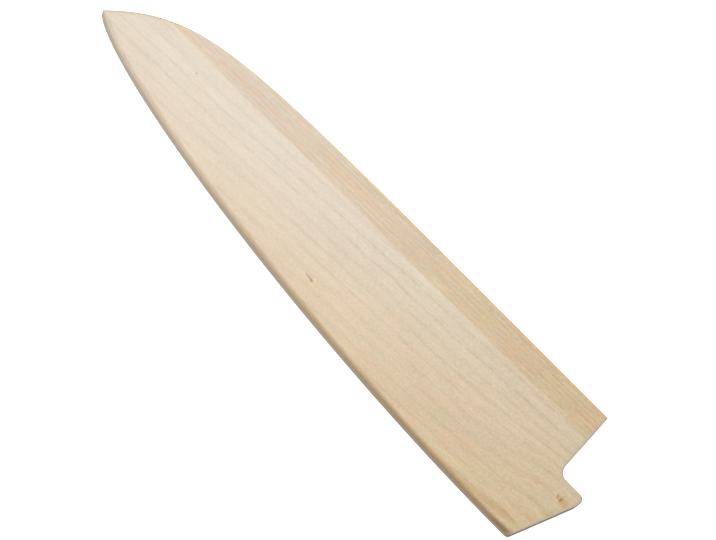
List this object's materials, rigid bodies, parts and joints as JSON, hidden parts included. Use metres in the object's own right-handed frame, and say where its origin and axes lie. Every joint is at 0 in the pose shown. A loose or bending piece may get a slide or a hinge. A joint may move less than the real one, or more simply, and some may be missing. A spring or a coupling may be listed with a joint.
{
  "type": "knife blade guard",
  "caption": "Closed maple sheath for a chef's knife blade, with a bevelled spine side, a rounded belly and a stepped mouth that covers the heel.",
  "frame": {"origin": "centre of the guard's footprint, on its flat back face", "axes": "+X from the tip to the mouth, +Y towards the spine of the blade, +Z out of the front face"},
  "size_m": [0.278, 0.063, 0.013],
  "materials": {
    "cheek_wood": "hard maple, sanded fine and lightly oiled, satin",
    "core_wood": "hard maple, sanded fine and lightly oiled, satin",
    "magnet_plating": "bright nickel plate"
  },
  "bodies": {
    "root": {"front_cheek": "cheek_wood", "back_cheek": "cheek_wood", "spine_strip": "core_wood", "edge_strip": "core_wood", "front_magnet_tip": "magnet_plating", "front_magnet_middle": "magnet_plating", "front_magnet_heel": "magnet_plating", "back_magnet_tip": "magnet_plating", "back_magnet_middle": "magnet_plating", "back_magnet_heel": "magnet_plating"}
  },
  "joints": []
}
